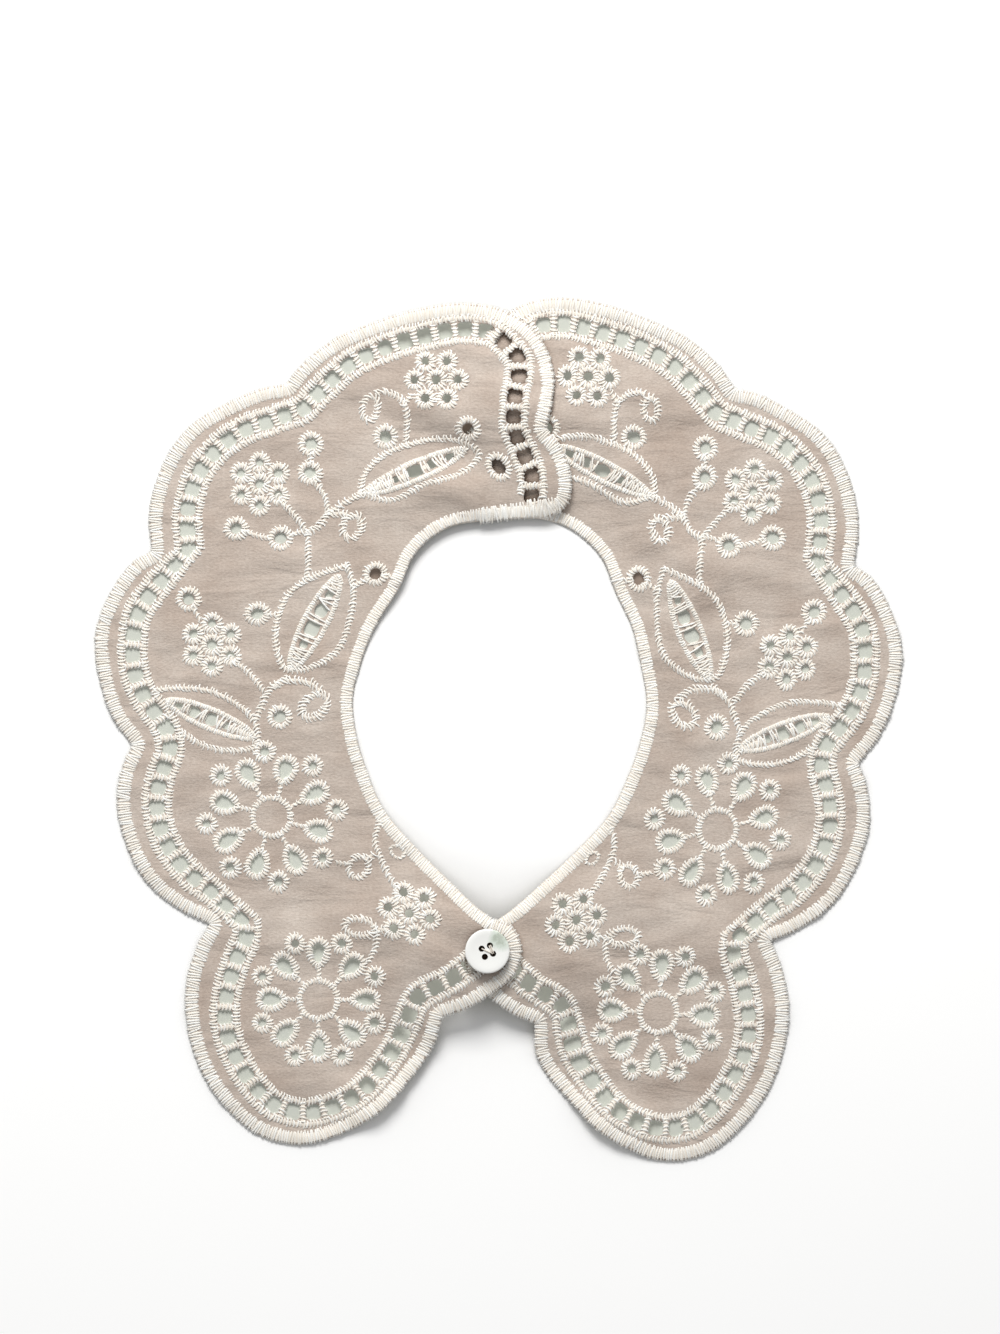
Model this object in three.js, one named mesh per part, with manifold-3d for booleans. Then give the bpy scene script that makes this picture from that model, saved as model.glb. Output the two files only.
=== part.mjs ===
// Broderie anglaise collar, laid flat: two scalloped cotton halves with cut holes, and a shell button.
// Millimetres, +Z up. +Y points to the back of the neck, and the underside lies on the table at z = 0.
// One half is drawn as it lies on the left. The right one is its mirror image, a little turned.

import * as THREE from "three";
import { mergeVertices } from "three/addons/utils/BufferGeometryUtils.js";
import Module from "manifold-3d";

const wasm = await Module();
wasm.setup();

// Cloth and edging
const CLOTH = 1.0;
const EDGE_RAISE = 0.5;
const EDGE_WIDTH = 4.0;
const NECK_EDGE_WIDTH = 3.5;
const LAYER_GAP = 0.3;
const GRID_CELL = 8.0;
const STEPS_PER_POINT = 2;

// An inset line turns round a notch in steps of this angle, and may come this much nearer than its distance
const NOTCH_TURN = 0.02;
const FAN_STEP = 0.2;
const NEAREST_SHARE = 0.975;

// Cut holes
const LADDER_PITCH = 5.35;
const LADDER_HOLE_ALONG = 4.2;
const LADDER_HOLE_ACROSS = 4.2;
const LADDER_FLAT = 0.75;
const LADDER_START = 2.25;
const LADDER_FROM = { stretch: "front_tab", corner: 3 };
const LADDER_TO = { stretch: "back_end", corner: 3 };
const LADDER_END = { x: 8.4, y: 59.6 };
const PETALS = 8;
const PETAL_LONG = 4.4;
const PETAL_WIDE = 3.1;
const PETAL_BELLY = 0.6;
const PETAL_MIDDLE = 0.85;
const LEAF_FLAT = 0.5;

// Cutting tools reach from below the table to above the cloth
const CUT_BOTTOM = -5;
const CUT_TOP = 30;

// Button
const BUTTON_DIAMETER = 11.5;
const BUTTON_THICK = 2.0;
const BUTTON_RIM = 1.5;
const BUTTON_DISH = 0.45;
const BUTTON_HOLE = 1.5;
const BUTTON_HOLE_SPACING = 2.3;
const BUTTON_TURN = 26;
const BUTTON_PLACE = { x: -3, y: -58 };

// The half's outline, from the front of the neck round by the table edge to the back, and along the neck:
// each corner's place, and how far in from it the middle of the ladder runs
const STRETCHES = [
  {
    name: "front_tab",
    points: [
      [-2, -49.5, 11], [3.5, -51.5, 11], [6, -57.5, 11], [4, -64.5, 10], [-2, -69.5, 9.5],
      [-8.5, -73.5, 9], [-14.5, -75.5, 8],
    ],
  },
  {
    name: "front_scallop",
    points: [
      [-14.5, -75.5, 8.5], [-17, -83.5, 9], [-23, -92, 8], [-31, -100.5, 7.5], [-40.5, -106, 7.5],
      [-51.5, -109, 8.5], [-62.5, -106.5, 9], [-71, -99.5, 9.5], [-77.5, -90, 10], [-81, -79, 10],
      [-81.5, -67.5, 11], [-78.5, -57, 11], [-75.5, -51.5, 10.5],
    ],
  },
  {
    name: "side_front_scallop",
    points: [
      [-75.5, -51.5, 8.5], [-83, -48, 9], [-91.5, -41, 10], [-97, -31, 10], [-99.5, -19.5, 10.5],
      [-98, -10.5, 10.5], [-95.5, -5, 10],
    ],
  },
  {
    name: "side_scallop",
    points: [
      [-95.5, -5, 10], [-100.5, 2, 10], [-104, 12, 9.5], [-105, 24, 10], [-101.5, 34, 9],
      [-95.5, 42.5, 9], [-90.5, 45.5, 7.5],
    ],
  },
  {
    name: "side_back_scallop",
    points: [
      [-90.5, 45.5, 10], [-91, 56, 10], [-87, 69, 9.5], [-80, 78.5, 9.5], [-70, 84.5, 8.5],
      [-61.5, 88, 9], [-55.5, 89, 8],
    ],
  },
  {
    name: "back_scallop",
    points: [
      [-55.5, 89, 8], [-51, 94.5, 8.5], [-42.5, 101, 8], [-31.5, 105.5, 7.5], [-21, 108.5, 7.5],
      [-10, 110, 7], [0.5, 108.5, 7], [8, 104, 8], [12.5, 98, 8], [14.5, 90, 9.5], [14, 84, 10],
      [12.5, 77, 9],
    ],
  },
  {
    name: "back_end",
    points: [
      [12.5, 77, 7.5], [16.5, 72, 9.5], [19, 64, 10.5], [18, 57.5, 10], [13.5, 54, 8],
    ],
  },
  {
    name: "neck",
    points: [
      [13.5, 54, 0], [0.5, 53.5, 0], [-13, 51.5, 0], [-21.5, 45, 0], [-26, 35.5, 0], [-32, 26, 0],
      [-36, 16, 0], [-38, 7, 0], [-37, -2.5, 0], [-34, -12.5, 0], [-30, -21.5, 0],
      [-22.5, -30.5, 0], [-14.5, -38.5, 0], [-6, -46.5, 0], [-2, -49.5, 0],
    ],
  },
];

// Eight-petalled rosettes, with the first petal's angle in degrees and the petals' distance out
const ROSETTES = [
  { x: -46.9, y: -71.1, turn: 0, reach: 12.1 },
  { x: -59.1, y: -23.6, turn: 28.5, reach: 12.6 },
];

// The large holes in the leaves: place, length and width, and the leaf's slope in degrees
const LEAF_HOLES = [
  { x: -22, y: 66.2, long: 5, wide: 3.4, slope: 25 },
  { x: -48.6, y: 25.8, long: 4.8, wide: 3.8, slope: 63 },
  { x: -46.1, y: 30.6, long: 4.2, wide: 3.4, slope: 63 },
  { x: -73.6, y: 1.3, long: 4.2, wide: 2.8, slope: -24 },
];

// The right half is the left one mirrored, turned by some 3 degrees, and eased in its width and length
const RIGHT_LAY = {
  across: 0.975,
  along: 1.017,
  leanX: 0.072,
  leanY: -0.05,
  x: 0.85,
  y: 0.1,
};

// Where the right half has been pulled out of the pattern: place, reach, and how far each way
const RIGHT_PULLS = [
  { x: -25, y: 35, reach: 24, across: -1.8, along: -0.4 },
  { x: -17, y: -87, reach: 16, across: 2.2, along: 0 },
];

// Where the cloth lifts off the table: round bumps by their middle, height and reach each way
const BUMPS = [
  { x: 3, y: 80, height: 5, reachX: 46, reachY: 30 },
  { x: -2, y: -58, height: 7, reachX: 40, reachY: 36 },
  { x: -30, y: -101, height: 2.2, reachX: 20, reachY: 14 },
  { x: 27, y: -104, height: 2.2, reachX: 20, reachY: 14 },
];

// Soft folds by their two ends, height and half width
const FOLDS = [
  { x1: -40, y1: 74, x2: 6, y2: 71, height: -1.6, half: 12 },
  { x1: -26, y1: 62, x2: 10, y2: 60, height: 0.8, half: 9 },
  { x1: 34, y1: 64, x2: 52, y2: 36, height: 1.4, half: 11 },
  { x1: 30, y1: -46, x2: 60, y2: -58, height: 1.2, half: 12 },
  { x1: -28, y1: -48, x2: -52, y2: -56, height: 1.0, half: 12 },
];

// The left half climbs on to the right one between these two places across the collar
const CLIMB_FROM = -38;
const CLIMB_TO = -22;
const CLIMB = CLOTH + EDGE_RAISE + LAYER_GAP;

const COTTON = { color: 0xcbbdb1, roughness: 0.9, metalness: 0 };
const SHELL = { color: 0xe6e2d4, roughness: 0.25, metalness: 0 };

function smoothStep(from, to, value) {
  const t = Math.min(Math.max((value - from) / (to - from), 0), 1);
  return t * t * (3 - 2 * t);
}

// Height of the cloth's underside above the table
function clothHeight(x, y) {
  let height = 0;
  for (const bump of BUMPS) {
    const reach = ((x - bump.x) / bump.reachX) ** 2 + ((y - bump.y) / bump.reachY) ** 2;
    if (reach < 1) height += bump.height * (1 - reach) ** 2;
  }
  for (const fold of FOLDS) {
    const alongX = fold.x2 - fold.x1;
    const alongY = fold.y2 - fold.y1;
    const square = alongX ** 2 + alongY ** 2;
    const t = Math.min(Math.max(((x - fold.x1) * alongX + (y - fold.y1) * alongY) / square, 0), 1);
    const away = Math.hypot(x - fold.x1 - t * alongX, y - fold.y1 - t * alongY) / fold.half;
    if (away < 1) height += fold.height * (1 - away ** 2) ** 2;
  }
  return Math.max(height, 0);
}

function leftHeight(x, y) {
  return clothHeight(x, y) + CLIMB * smoothStep(CLIMB_FROM, CLIMB_TO, x);
}

// The outline as points, each with the ladder's inset there and the width of the edging
function halfOutline() {
  return STRETCHES.flatMap(({ name, points }) => {
    const corners = points.map(([x, y, ladder]) => new THREE.Vector3(x, y, ladder));
    const count = (corners.length - 1) * STEPS_PER_POINT;
    const curve = new THREE.CatmullRomCurve3(corners, false, "centripetal");
    return curve.getPoints(count).slice(0, count).map((point, i) => ({
      x: point.x,
      y: point.y,
      stretch: name,
      corner: i / STEPS_PER_POINT,
      ladder: point.z,
      edge: name === "neck" ? NECK_EDGE_WIDTH : EDGE_WIDTH,
    }));
  });
}

// A line inside the outline, at each point's own distance. A notch is rounded by a fan of points.
function insetLine(outline, distance, closed) {
  const heading = (from, to) => Math.atan2(from.x - to.x, to.y - from.y);
  const line = [];
  outline.forEach((point, i) => {
    const before = i > 0 || closed ? outline.at(i - 1) : null;
    const after = i < outline.length - 1 || closed ? outline[(i + 1) % outline.length] : null;
    const first = heading(before ?? point, before ? point : after);
    const second = after ? heading(point, after) : first;
    const turn = Math.atan2(Math.sin(second - first), Math.cos(second - first));
    const fan = turn > NOTCH_TURN ? Math.max(1, Math.floor(turn / FAN_STEP)) : 0;
    for (let k = 0; k <= fan; k += 1) {
      const share = fan ? k / fan : 0.5;
      const angle = first + share * turn;
      const reach = fan ? THREE.MathUtils.lerp(distance(before ?? point), distance(point), share) : distance(point);
      const candidate = { x: point.x + reach * Math.cos(angle), y: point.y + reach * Math.sin(angle) };
      const clear = outline.every(
        (other) => Math.hypot(candidate.x - other.x, candidate.y - other.y) >= NEAREST_SHARE * distance(other),
      );
      if (clear) line.push(candidate);
    }
  });
  return line;
}

// Places at an even pitch along a line, each with its direction
function evenPlaces(line, start, pitch) {
  const places = [];
  let walked = 0;
  let next = start + pitch / 2;
  for (let i = 1; i < line.length; i += 1) {
    const from = line[i - 1];
    const to = line[i];
    const length = Math.hypot(to.x - from.x, to.y - from.y);
    while (next <= walked + length) {
      const t = (next - walked) / length;
      const turn = Math.atan2(to.y - from.y, to.x - from.x);
      places.push({ x: from.x + t * (to.x - from.x), y: from.y + t * (to.y - from.y), turn });
      next += pitch;
    }
    walked += length;
  }
  return places;
}

function turned(points, place, turn) {
  const cos = Math.cos(turn);
  const sin = Math.sin(turn);
  return points.map(([along, across]) => ({
    x: place.x + along * cos - across * sin,
    y: place.y + along * sin + across * cos,
  }));
}

// A hole with a flat along each side, of this share of its length, and a point at each end
function sixSided(long, wide, flat) {
  return [
    [long, 0],
    [long * flat, wide],
    [-long * flat, wide],
    [-long, 0],
    [-long * flat, -wide],
    [long * flat, -wide],
  ];
}

function ladderHoles(outline) {
  const isAt = (point, mark) => point.stretch === mark.stretch && point.corner === mark.corner;
  const first = outline.findIndex((point) => isAt(point, LADDER_FROM));
  const last = outline.findIndex((point) => isAt(point, LADDER_TO));
  const stretch = outline.slice(first, last + 1);
  const line = [...insetLine(stretch, (point) => point.ladder, false), LADDER_END];
  const along = LADDER_HOLE_ALONG / 2;
  const across = LADDER_HOLE_ACROSS / 2;
  const shape = sixSided(along, across, LADDER_FLAT);
  return evenPlaces(line, LADDER_START, LADDER_PITCH).map((spot) => turned(shape, spot, spot.turn));
}

// A petal's hole is a drop, pointed towards the middle of its rosette
function petalHoles() {
  const long = PETAL_LONG / 2;
  const wide = PETAL_WIDE / 2;
  const drop = [
    [-long, 0],
    [0, -wide * PETAL_MIDDLE],
    [long * PETAL_BELLY, -wide],
    [long, 0],
    [long * PETAL_BELLY, wide],
    [0, wide * PETAL_MIDDLE],
  ];
  return ROSETTES.flatMap((rosette) =>
    Array.from({ length: PETALS }, (_, i) => {
      const turn = THREE.MathUtils.degToRad(rosette.turn + (360 * i) / PETALS);
      const place = {
        x: rosette.x + rosette.reach * Math.cos(turn),
        y: rosette.y + rosette.reach * Math.sin(turn),
      };
      return turned(drop, place, turn);
    }),
  );
}

function leafHoles() {
  return LEAF_HOLES.map((hole) => {
    const shape = sixSided(hole.long / 2, hole.wide / 2, LEAF_FLAT);
    return turned(shape, hole, THREE.MathUtils.degToRad(hole.slope));
  });
}

function layLeft(point) {
  return new THREE.Vector2(point.x, point.y);
}

function layRight(point) {
  const lay = RIGHT_LAY;
  let { x, y } = point;
  for (const pull of RIGHT_PULLS) {
    const share = Math.max(1 - ((x - pull.x) ** 2 + (y - pull.y) ** 2) / pull.reach ** 2, 0) ** 2;
    x += share * pull.across;
    y += share * pull.along;
  }
  return new THREE.Vector2(lay.x - lay.across * x + lay.leanX * y, lay.y - lay.leanY * x + lay.along * y);
}

function toSolid(geometry) {
  const bare = geometry.clone();
  bare.deleteAttribute("normal");
  bare.deleteAttribute("uv");
  const merged = mergeVertices(bare, 1e-4);
  return new wasm.Manifold(
    new wasm.Mesh({
      numProp: 3,
      vertProperties: new Float32Array(merged.attributes.position.array),
      triVerts: new Uint32Array(merged.index.array),
    }),
  );
}

function toGeometry(solid) {
  const mesh = solid.getMesh();
  const geometry = new THREE.BufferGeometry();
  geometry.setAttribute("position", new THREE.BufferAttribute(mesh.vertProperties, 3));
  geometry.setIndex(new THREE.BufferAttribute(mesh.triVerts, 1));
  return geometry;
}

function prism(points) {
  const geometry = new THREE.ExtrudeGeometry(new THREE.Shape(points), {
    depth: CUT_TOP - CUT_BOTTOM,
    bevelEnabled: false,
  });
  return toSolid(geometry.translate(0, 0, CUT_BOTTOM));
}

// A slab between two heights, on one grid that both halves share, so that the gap between them stays even
function slab(points, underside, thickness) {
  const box = new THREE.Box2().setFromPoints(points);
  const column = (value) => Math.floor(value / GRID_CELL);
  const left = column(box.min.x) - 1;
  const front = column(box.min.y) - 1;
  const columns = column(box.max.x) + 2 - left;
  const rows = column(box.max.y) + 2 - front;
  const position = [];
  for (const lift of [0, thickness]) {
    for (let row = 0; row <= rows; row += 1) {
      for (let i = 0; i <= columns; i += 1) {
        const x = (left + i) * GRID_CELL;
        const y = (front + row) * GRID_CELL;
        position.push(x, y, underside(x, y) + lift);
      }
    }
  }
  const layer = (rows + 1) * (columns + 1);
  const corner = (i, row) => row * (columns + 1) + i;
  const index = [];
  for (let row = 0; row < rows; row += 1) {
    for (let i = 0; i < columns; i += 1) {
      const [a, b, c, d] = [corner(i, row), corner(i + 1, row), corner(i + 1, row + 1), corner(i, row + 1)];
      index.push(a, c, b, a, d, c);
      index.push(a + layer, b + layer, c + layer, a + layer, c + layer, d + layer);
    }
  }
  const rim = [];
  for (let i = 0; i < columns; i += 1) rim.push(corner(i, 0));
  for (let row = 0; row < rows; row += 1) rim.push(corner(columns, row));
  for (let i = columns; i > 0; i -= 1) rim.push(corner(i, rows));
  for (let row = rows; row > 0; row -= 1) rim.push(corner(0, row));
  rim.forEach((a, i) => {
    const b = rim[(i + 1) % rim.length];
    index.push(a, b, b + layer, a, b + layer, a + layer);
  });
  const geometry = new THREE.BufferGeometry();
  geometry.setAttribute("position", new THREE.BufferAttribute(new Float32Array(position), 3));
  geometry.setIndex(index);
  return toSolid(geometry);
}

function panel(lay, underside) {
  const outline = halfOutline();
  const edge = outline.map(lay);
  const inner = insetLine(outline, (point) => point.edge, true).map(lay);
  const cloth = slab(edge, underside, CLOTH).intersect(prism(edge));
  const edging = slab(edge, underside, CLOTH + EDGE_RAISE).intersect(prism(edge).subtract(prism(inner)));
  const holes = [...ladderHoles(outline), ...petalHoles(), ...leafHoles()];
  const cutters = holes.map((hole) => prism(hole.map(lay)));
  return toGeometry(cutters.reduce((solid, cutter) => solid.subtract(cutter), cloth.add(edging)));
}

// A turned disc with a raised rim round a shallow dish, and four sewing holes
function button() {
  const radius = BUTTON_DIAMETER / 2;
  const top = BUTTON_THICK;
  const profile = [
    [0, 0], [radius - 1, 0], [radius - 0.2, 0.5], [radius, 1], [radius - 0.3, 1.7], [radius - 0.8, top],
    [radius - BUTTON_RIM, top - 0.1], [radius - BUTTON_RIM - 0.6, top - BUTTON_DISH], [0, top - BUTTON_DISH],
  ];
  const disc = new THREE.LatheGeometry(profile.map(([x, y]) => new THREE.Vector2(x, y)), 32);
  let solid = toSolid(disc.rotateX(Math.PI / 2));
  for (let i = 0; i < 4; i += 1) {
    const turn = THREE.MathUtils.degToRad(BUTTON_TURN + 90 * i);
    const reach = BUTTON_HOLE_SPACING / Math.SQRT2;
    const drill = new THREE.CylinderGeometry(BUTTON_HOLE / 2, BUTTON_HOLE / 2, CUT_TOP, 10);
    drill.rotateX(Math.PI / 2).translate(reach * Math.cos(turn), reach * Math.sin(turn), 0);
    solid = solid.subtract(toSolid(drill));
  }
  return toGeometry(solid);
}

// The top of the left half under the button, where the grid's corners round it stand highest
function buttonSeat() {
  const reach = BUTTON_DIAMETER / 2;
  const corners = [-1, 0, 1].flatMap((i) => [-1, 0, 1].map((j) => [i * reach, j * reach]));
  const heights = corners.map(([x, y]) => leftHeight(BUTTON_PLACE.x + x, BUTTON_PLACE.y + y));
  return Math.max(...heights) + CLOTH + LAYER_GAP;
}

function piece(name, geometry, look) {
  geometry.computeVertexNormals();
  const mesh = new THREE.Mesh(geometry, new THREE.MeshStandardMaterial(look));
  mesh.name = name;
  return mesh;
}

const leftPanel = piece("left_panel", panel(layLeft, leftHeight), COTTON);
const rightPanel = piece("right_panel", panel(layRight, clothHeight), COTTON);
const shellButton = piece("button", button(), SHELL);
shellButton.position.set(BUTTON_PLACE.x, BUTTON_PLACE.y, buttonSeat());

// The origin is under the middle of the whole collar
const collar = new THREE.Group();
collar.add(leftPanel, rightPanel, shellButton);
const middle = new THREE.Box3().setFromObject(collar).getCenter(new THREE.Vector3());
collar.position.set(-middle.x, -middle.y, 0);

export default collar;
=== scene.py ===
"""A broderie anglaise collar laid flat: two cotton halves with cut holes, ivory stitching and a shell button.

Lengths are in millimetres in the flat pattern, with +Y to the back of the neck, until a piece is laid:
laying lifts it on to the table's bumps and folds and turns its points into metres in the row's frame.
"""

import math

import bpy
import numpy as np
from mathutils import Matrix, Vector
from mathutils.geometry import delaunay_2d_cdt

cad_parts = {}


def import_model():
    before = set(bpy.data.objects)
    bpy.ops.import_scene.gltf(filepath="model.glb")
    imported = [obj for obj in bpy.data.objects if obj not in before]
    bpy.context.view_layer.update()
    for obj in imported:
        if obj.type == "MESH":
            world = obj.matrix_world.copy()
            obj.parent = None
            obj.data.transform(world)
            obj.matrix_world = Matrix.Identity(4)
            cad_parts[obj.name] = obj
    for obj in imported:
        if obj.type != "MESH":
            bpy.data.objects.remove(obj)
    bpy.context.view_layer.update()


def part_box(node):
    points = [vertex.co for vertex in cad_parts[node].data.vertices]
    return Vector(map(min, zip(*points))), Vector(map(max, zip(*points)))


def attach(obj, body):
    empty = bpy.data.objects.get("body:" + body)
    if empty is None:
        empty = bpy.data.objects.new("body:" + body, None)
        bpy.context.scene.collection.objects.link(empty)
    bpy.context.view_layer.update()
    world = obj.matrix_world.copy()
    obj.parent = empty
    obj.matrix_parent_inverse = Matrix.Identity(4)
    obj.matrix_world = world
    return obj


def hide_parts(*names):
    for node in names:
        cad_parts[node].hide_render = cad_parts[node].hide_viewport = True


MM = 0.001

# The photograph: its size in pixels, the pattern's origin in it, and the size of a pixel
PHOTO_WIDE, PHOTO_TALL = 1000, 1334
ORIGIN_PX_X, ORIGIN_PX_Y = 499, 726
PIXEL = 0.26

# Cloth and edging
CLOTH_THICK = 0.3
CLOTH_LEVEL = 0.55
WALL = 1.0
EDGE_RAISE = 0.5
LAYER_GAP = 0.3
EDGE_WIDTH = 4.0
NECK_EDGE_WIDTH = 3.5
EDGE_TURN_IN = 0.5
CLOTH_CELL = 1.5
CURVE_STEPS = 8

# Stitches: the satin edge, the wider rows round the holes, the dense rows of the leaves' cores, and the fine
# slanted rows of leaves and stems
EDGE_STITCH = {
    "Length": 4.1, "Pitch": 0.67, "Height": 0.95, "Thread": 0.56, "Padding": 0.86, "Ragged": 0.08,
    "Lean": 0.16, "Stray": 0.1}
RING_STITCH = {
    "Length": 2.25, "Pitch": 0.86, "Height": 1.3, "Thread": 0.5, "Tilt": 0.7, "Padding": 0.6, "Ragged": 0.18,
    "Lean": 0.28, "Stray": 0.1}
CORE_STITCH = {
    "Length": 2.2, "Pitch": 0.62, "Height": 1.25, "Thread": 0.52, "Tilt": 0.6, "Padding": 0.8, "Ragged": 0.16,
    "Lean": 0.3, "Stray": 0.12}
FINE_STITCH = {
    "Length": 2.4, "Pitch": 0.96, "Height": 1.42, "Thread": 0.5, "Tilt": 0.85, "Padding": 0.4, "Ragged": 0.2,
    "Lean": 0.3, "Slant": 0.5, "Stray": 0.12}

# The families of rows, each sewn as one piece, and the stitch of each
FAMILIES = {
    "edging": EDGE_STITCH, "ladder": RING_STITCH, "rosettes": RING_STITCH, "flowers": RING_STITCH,
    "leaves": FINE_STITCH, "cores": CORE_STITCH, "stems": FINE_STITCH,
}

# Ladder border
LADDER_PITCH = 5.35
LADDER_HOLE = 4.2
LADDER_RAIL = 3.0
LADDER_START = 2.25
LADDER_FROM = ("front_tab", 3)
LADDER_TO = ("back_end", 3)
LADDER_END = (8.4, 59.6)

# Rosettes and flowers
PETALS = 8
ROSETTE_RING = 5.0
PETAL_LONG = 5.2
PETAL_WIDE = 4.2
FLOWER_PETALS = 6
FLOWER_REACH = 5.6
SMALL_HOLE = 0.95
EYELET_HOLE = 1.4
CORE_ROW_IN = 0.2
LEAF_POINTED = 1.3

# The card under each half: how far in from its edge, and how high above the paper
CARD_IN = 3.0
CARD_UP = 0.04
DARK_REACH = 2.6

# Button
BUTTON_X, BUTTON_Y = -3.0, -58.0
BUTTON_DIAMETER = 11.5
BUTTON_THICK = 2.0
BUTTON_HOLE = 1.6
BUTTON_HOLE_REACH = 1.6
BUTTON_TURN = 66
BUTTON_DISH = 0.28
BUTTON_SIDES = 96
DRILL_SIDES = 24
STRAND_RADIUS = 0.15
STRAND_FLOOR = -1.6

# Strands: the holes that each runs between, and how far to the side
STRANDS = ((0, 3, -0.2), (0, 3, 0.2), (1, 3, 0.0))

# The weave's threads are this far apart
WEAVE_PITCH = 0.35

# Light and camera, in metres and watts
SKY_STRENGTH = 0.36
WINDOW_PLACE = (-0.12, 0.9, 0.82)
WINDOW_SIDE = 0.5
WINDOW_POWER = 14.3
FLOOR_HALF = 3.0
EYE_HEIGHT = 1.6
SENSOR_TALL = 36

# Node settings that darken one colour by another, and the inputs of a matt surface
DARKEN = {"data_type": "RGBA", "blend_type": "MULTIPLY"}
MATT = {"Roughness": 0.95, "Specular IOR Level": 0.1}

# The left half's outline, from the front of the neck round by the table edge to the back, and along the neck:
# each corner's place, and how far in from it the ladder runs
STRETCHES = (
    ("front_tab", (
        (-2, -49.5, 11), (3.5, -51.5, 11), (6, -57.5, 11), (4, -64.5, 10), (-2, -69.5, 9.5),
        (-8.5, -73.5, 9), (-14.5, -75.5, 8))),
    ("front_scallop", (
        (-14.5, -75.5, 8.5), (-17, -83.5, 9), (-23, -92, 8), (-31, -100.5, 7.5),
        (-40.5, -106, 7.5), (-51.5, -109, 8.5), (-62.5, -106.5, 9), (-71, -99.5, 9.5),
        (-77.5, -90, 10), (-81, -79, 10), (-81.5, -67.5, 11), (-78.5, -57, 11),
        (-75.5, -51.5, 10.5))),
    ("side_front_scallop", (
        (-75.5, -51.5, 8.5), (-83, -48, 9), (-91.5, -41, 10), (-97, -31, 10), (-99.5, -19.5, 10.5),
        (-98, -10.5, 10.5), (-95.5, -5, 10))),
    ("side_scallop", (
        (-95.5, -5, 10), (-100.5, 2, 10), (-104, 12, 9.5), (-105, 24, 10), (-101.5, 34, 9),
        (-95.5, 42.5, 9), (-90.5, 45.5, 7.5))),
    ("side_back_scallop", (
        (-90.5, 45.5, 10), (-91, 56, 10), (-87, 69, 9.5), (-80, 78.5, 9.5), (-70, 84.5, 8.5),
        (-61.5, 88, 9), (-55.5, 89, 8))),
    ("back_scallop", (
        (-55.5, 89, 8), (-51, 94.5, 8.5), (-42.5, 101, 8), (-31.5, 105.5, 7.5), (-21, 108.5, 7.5),
        (-10, 110, 7), (0.5, 108.5, 7), (8, 104, 8), (12.5, 98, 8), (14.5, 90, 9.5), (14, 84, 10),
        (12.5, 77, 9))),
    ("back_end", (
        (12.5, 77, 7.5), (16.5, 72, 9.5), (19, 64, 10.5), (18, 57.5, 10), (13.5, 54, 8))),
    ("neck", (
        (13.5, 54, 0), (0.5, 53.5, 0), (-13, 51.5, 0), (-21.5, 45, 0), (-26, 35.5, 0),
        (-32, 26, 0), (-36, 16, 0), (-38, 7, 0), (-37, -2.5, 0), (-34, -12.5, 0), (-30, -21.5, 0),
        (-22.5, -30.5, 0), (-14.5, -38.5, 0), (-6, -46.5, 0), (-2, -49.5, 0))),
)

# Rosettes: middle, the first petal's angle in degrees, and how far out the petals and the eyelets are
ROSETTES = ((-46.9, -71.1, 0, 12.1, 15.8), (-59.1, -23.6, 28.5, 12.6, 17))

# Small flowers: middle, and the first petal's angle in degrees
FLOWERS = ((-16.3, 89.8, 0), (-62.2, 62.9, 30), (-74.6, 21.1, 30), (-23.3, -48.5, 45))

# Single eyelets: middle, how far each is drawn out lengthwise, and its slope in degrees
EYELETS = (
    (-48.8, 73.3, 1.0, 0), (-49.1, 65.8, 1.0, 0), (-29.5, 75.1, 1.0, 0), (-8, 77, 1.15, -30),
    (-0.1, 67.3, 1.5, -52), (-68.3, 51.3, 1.05, 20), (-56.8, 48.8, 1.15, 10), (-32.1, 39.5, 1.1, 30),
    (-80.7, 33, 1.0, 0), (-62.8, 29.1, 1.1, 10), (-57, 2.4, 1.0, 0),
)

# Leaves: the outline from the tip round, the core's two ends and width, and its holes by their place
# along the core, length and width
LEAVES = (
    {
        "outline": (
            (-36, 60.5), (-35, 65.5), (-30, 70.5), (-24, 73), (-17.5, 74.5), (-10, 74), (-5, 70.5),
            (-9, 66), (-19.5, 62.5), (-28, 58.5), (-36, 60.5)),
        "core": ((-35, 60.5), (-8.5, 71.8), 5.0),
        "holes": ((0.31, 2.2, 1.8), (0.5, 4.6, 3.2), (0.66, 2.6, 2.4), (0.84, 3.2, 2.0)),
    },
    {
        "outline": (
            (-39.5, 42), (-38, 37), (-38, 31.5), (-41, 21), (-45, 17), (-51.5, 14.5), (-55.5, 14.8),
            (-57.5, 18.5), (-58, 26), (-55, 34), (-50, 38), (-39.5, 42)),
        "core": ((-54.2, 14.6), (-41.5, 39), 6.2),
        "holes": ((0.27, 2.6, 2.2), (0.44, 4.4, 3.8), (0.63, 4.0, 3.4), (0.8, 2.4, 2.0)),
    },
    {
        "outline": (
            (-89, 9.5), (-82, 10), (-74.5, 9), (-68.5, 6), (-64, 2), (-62.9, -5), (-69.5, -6.5),
            (-75, -5.7), (-79, -4), (-82.5, -1.5)),
        "core": ((-86.5, 6.6), (-63.5, -3), 5.2),
        "holes": ((0.15, 2.6, 2.0), (0.32, 3.3, 3.0), (0.51, 3.6, 3.6), (0.68, 1.9, 2.0)),
    },
)

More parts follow.
